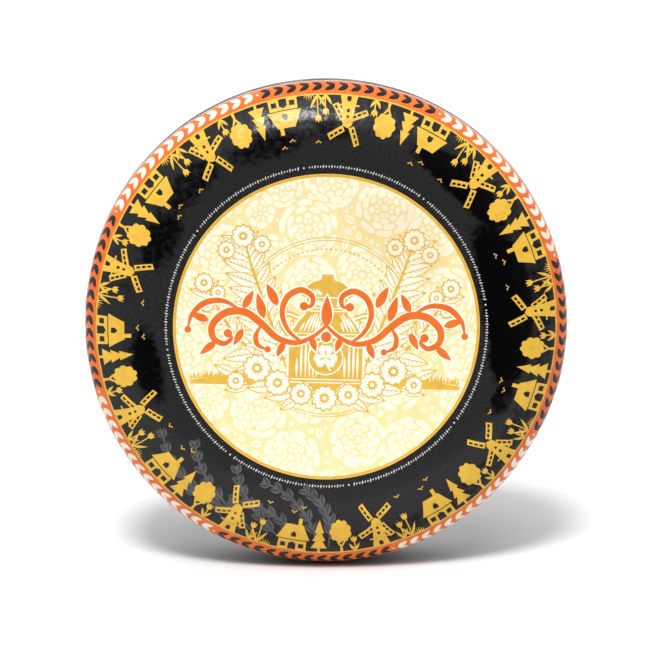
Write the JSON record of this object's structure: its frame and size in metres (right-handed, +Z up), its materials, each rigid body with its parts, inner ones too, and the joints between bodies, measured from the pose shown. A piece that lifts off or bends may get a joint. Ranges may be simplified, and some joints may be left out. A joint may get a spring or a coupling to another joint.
{
  "type": "goat gouda wheel",
  "caption": "Whole wheel of aged goat gouda in a black coat, standing on its rim, with a round printed label wrapped over its face and front shoulder.",
  "frame": {"origin": "on the ground, under the middle of the wheel as it stands on its rim", "axes": "+Y from the labelled face to the back, along the wheel's axis but for a lean back of 4 degrees; +Z up; +X to the right seen from the labelled face"},
  "size_m": [0.2596, 0.0948, 0.2596],
  "materials": {
    "coat": "satin black coat, slightly uneven",
    "label": "glossy printed paper, black with cream, gold and orange"
  },
  "bodies": {
    "root": {"wheel": "coat", "label": "label"}
  },
  "joints": []
}
